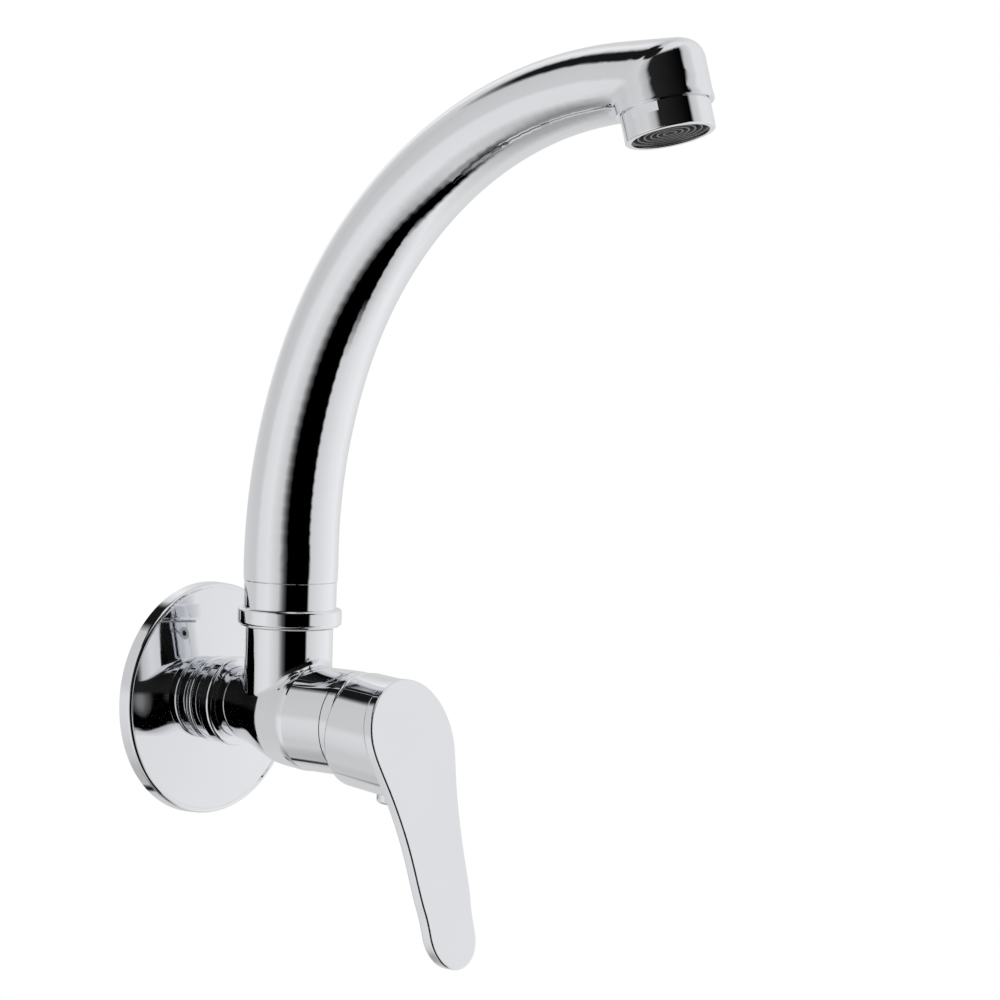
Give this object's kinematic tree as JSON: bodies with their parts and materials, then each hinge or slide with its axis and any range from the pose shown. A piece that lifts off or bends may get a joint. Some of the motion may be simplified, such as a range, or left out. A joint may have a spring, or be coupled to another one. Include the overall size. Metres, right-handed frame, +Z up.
{
  "type": "wall mounted kitchen faucet",
  "caption": "Wall-mounted kitchen faucet with an arched swivel spout, a round wall plate, a horizontal cartridge barrel and a long paddle lever.",
  "frame": {"origin": "on the finished wall, where the inlet axis leaves it", "axes": "+Z up, room toward -Y, wall toward +Y, +X to the right when facing the wall"},
  "size_m": [0.07, 0.198, 0.2619],
  "materials": {
    "chrome_casting": "polished",
    "chrome_spout": "polished",
    "chrome_handle": "polished",
    "chrome_plate": "polished",
    "chrome_trim": "polished",
    "turned_brass": "machined",
    "steel_small": "machined",
    "mesh_steel": "woven",
    "white_acetal": "moulded",
    "grey_acetal": "moulded",
    "dark_ceramic": "lapped",
    "white_ceramic": "lapped",
    "black_rubber": "matt",
    "foam": "matt"
  },
  "bodies": {
    "faucet_body": {"escutcheon": "chrome_plate", "escutcheon_gasket": "foam", "plate_ring": "chrome_trim", "inlet_nipple": "chrome_casting", "inlet_strainer": "mesh_steel", "inlet_seal": "black_rubber", "body": "chrome_casting", "lock_screw": "steel_small", "lower_glide_ring": "white_acetal", "upper_glide_ring": "white_acetal", "cartridge_base": "grey_acetal", "port_seals": "black_rubber", "fixed_disc": "white_ceramic", "cartridge_housing": "grey_acetal", "cartridge_nut": "turned_brass", "cartridge_cap": "chrome_trim"},
    "spout_arm": {"spout_collar": "chrome_trim", "spout_sleeve": "chrome_trim", "swivel_spigot": "turned_brass", "spigot_orings": "black_rubber", "spout": "chrome_spout", "aerator_housing": "chrome_trim", "aerator_insert": "grey_acetal", "aerator_mesh": "mesh_steel", "aerator_washer": "black_rubber"},
    "carrier": {"lever_carrier": "grey_acetal", "tilt_pin": "steel_small"},
    "lever": {"lever_stem": "turned_brass", "handle": "chrome_handle", "grub_screw": "steel_small", "screw_plug": "chrome_trim"},
    "disc_block": {"moving_disc": "dark_ceramic", "disc_driver": "white_acetal"}
  },
  "joints": [
    {"name": "spout_swivel", "type": "hinge", "parent": "faucet_body", "child": "spout_arm", "pos_m": [0, -0.035, 0.024], "axis": [0, 0, 1], "range_deg": [-90, 90]},
    {"name": "lever_turn", "type": "hinge", "parent": "faucet_body", "child": "carrier", "pos_m": [0, -0.0523, -0.002], "axis": [0, 1, 0], "range_deg": [-40, 40]},
    {"name": "lever_tilt", "type": "hinge", "parent": "carrier", "child": "lever", "pos_m": [0, -0.0523, -0.002], "axis": [-1, 0, 0], "range_deg": [0, 20]},
    {"name": "disc_slide", "type": "slide", "parent": "carrier", "child": "disc_block", "axis": [0, 0, -1], "range_m": [0, 0.0021]}
  ],
  "couplings": [
    {"joint": "disc_slide", "follows": "lever_tilt", "m_per_rad": 0.00595}
  ]
}
